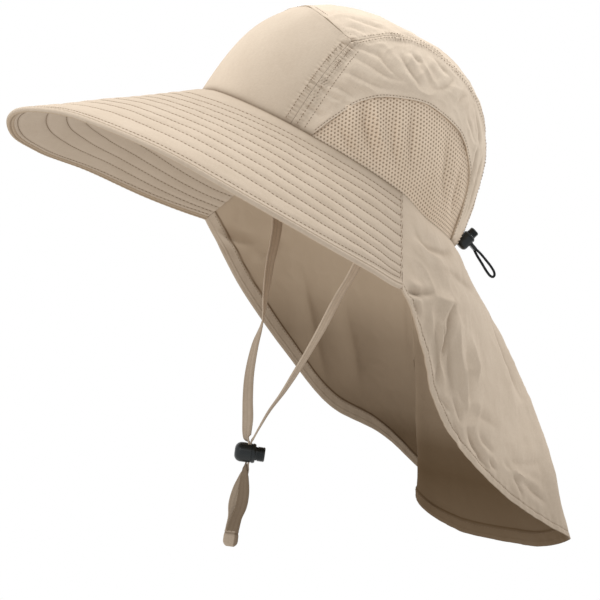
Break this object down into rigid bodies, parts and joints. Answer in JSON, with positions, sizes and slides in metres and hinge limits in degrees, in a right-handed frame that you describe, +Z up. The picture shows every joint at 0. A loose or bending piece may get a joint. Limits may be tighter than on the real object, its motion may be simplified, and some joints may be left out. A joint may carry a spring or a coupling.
{
  "type": "flap sun hat",
  "caption": "Sun hat with a wide stitched brim, a long neck flap, mesh windows in the crown, and a chin strap and rear elastic with cord locks.",
  "frame": {"origin": "centre of the head opening, level with the front of the seam between crown and brim", "axes": "+Z up, -Y the way the wearer looks, +X the wearer's left; the hat sits tipped back 23 degrees, its front raised"},
  "size_m": [0.3106, 0.4206, 0.3543],
  "materials": {
    "cloth": "plain woven cloth, matte, with stitched seams",
    "mesh": "open knitted mesh, matte",
    "lock": "moulded, satin",
    "elastic": "braided round elastic"
  },
  "bodies": {
    "hat": {"crown_front": "cloth", "crown_top": "cloth", "crown_side_left": "cloth", "crown_side_right": "cloth", "brim": "cloth", "brim_binding": "cloth", "neck_flap": "cloth", "chin_strap_left": "cloth", "chin_strap_right": "cloth", "strap_end": "cloth", "mesh_window_left": "mesh", "mesh_window_right": "mesh", "chin_lock_body": "lock", "rear_lock_body": "lock", "rear_cord": "elastic"},
    "chin_button": {"chin_lock_button": "lock"},
    "rear_button": {"rear_lock_button": "lock"}
  },
  "joints": [
    {"name": "chin_lock_press", "type": "slide", "parent": "hat", "child": "chin_button", "axis": [-0.5, -0.866, 0], "range_m": [0, 0.004], "stiffness_N_per_m": 800},
    {"name": "rear_lock_press", "type": "slide", "parent": "hat", "child": "rear_button", "axis": [-0.1502, -0.6309, -0.7611], "range_m": [0, 0.003], "stiffness_N_per_m": 600}
  ]
}
